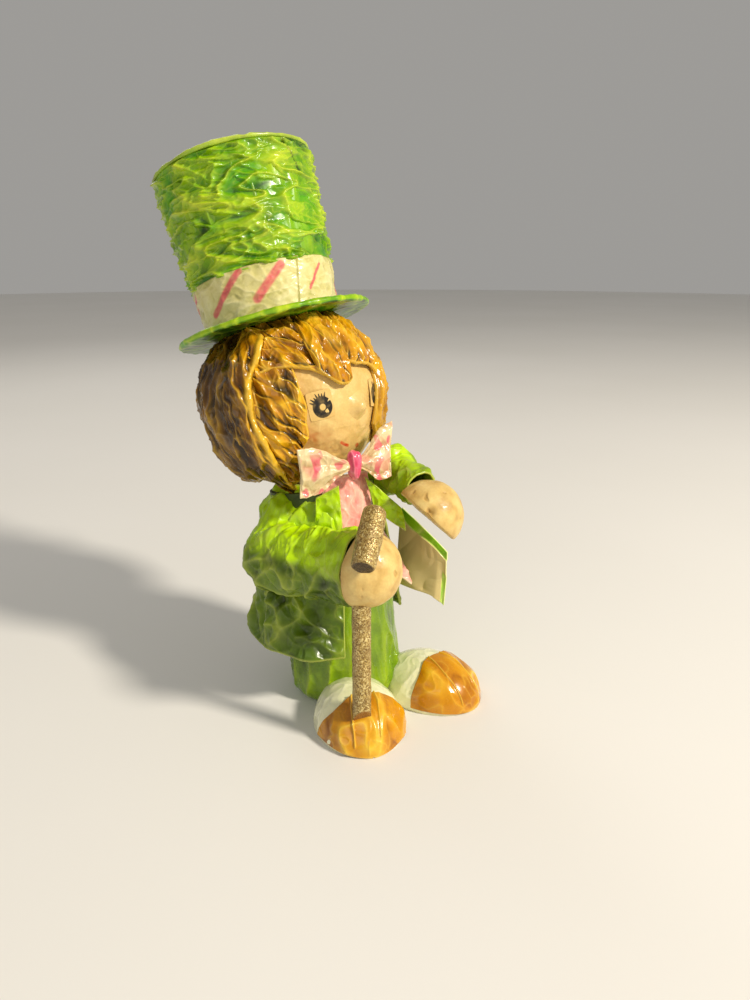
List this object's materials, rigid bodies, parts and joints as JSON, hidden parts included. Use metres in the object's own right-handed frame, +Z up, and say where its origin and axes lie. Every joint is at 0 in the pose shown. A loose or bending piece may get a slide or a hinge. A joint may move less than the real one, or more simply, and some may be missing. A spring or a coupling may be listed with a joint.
{
  "type": "papier-mache figurine",
  "caption": "Free-standing papier-mache boy with bobbed hair, a tall green top hat, bow tie, open coat, glitter cane and egg-shaped shoes, leaning back.",
  "frame": {"origin": "middle of the flat base, on the surface that the figure stands on", "axes": "+Z is up, the figure faces -Y, its left hand is towards +X"},
  "size_m": [0.0739, 0.1299, 0.2002],
  "materials": {
    "card": "matte",
    "wood_dowel": "matte",
    "wire": "satin",
    "face_paper": "satin",
    "eye_print": "gloss",
    "hair_paper": "gloss",
    "green_paper": "gloss",
    "band_paper": "satin",
    "pink_paper": "gloss",
    "bow_paper": "gloss",
    "knot_paper": "gloss",
    "hand_pulp": "satin",
    "shoe_pulp": "gloss",
    "toe_paper": "gloss",
    "gold_glitter": "gloss"
  },
  "bodies": {
    "root": {"base_plug": "card", "body_tube": "card", "shoulder_plug": "card", "neck_dowel": "wood_dowel", "head_ball": "card", "arm_wire_right": "wire", "arm_wire_left": "wire", "face_paper": "face_paper", "nose": "face_paper", "eye_right": "eye_print", "eye_left": "eye_print", "hair_back": "hair_paper", "lock_right_back": "hair_paper", "lock_right_front": "hair_paper", "fringe_right": "hair_paper", "bang_centre": "hair_paper", "bang_left": "hair_paper", "lock_left": "hair_paper", "hat_brim": "green_paper", "hat_crown": "card", "crown_paper": "green_paper", "hat_lid": "green_paper", "hat_band": "band_paper", "trousers": "green_paper", "shirt_front": "pink_paper", "vest_right": "pink_paper", "vest_left": "pink_paper", "coat_back": "green_paper", "coat_front_right": "green_paper", "coat_front_left": "green_paper", "coat_flap_left": "green_paper", "lapel_right": "green_paper", "lapel_left": "green_paper", "sleeve_right": "green_paper", "sleeve_left": "green_paper", "bow_knot": "knot_paper", "bow_wing_right": "bow_paper", "bow_wing_left": "bow_paper", "hand_right": "hand_pulp", "hand_left": "hand_pulp", "cane_shaft": "gold_glitter", "cane_handle": "gold_glitter", "shoe_right": "shoe_pulp", "shoe_left": "shoe_pulp", "toe_cap_right": "toe_paper", "toe_cap_left": "toe_paper"}
  },
  "joints": []
}
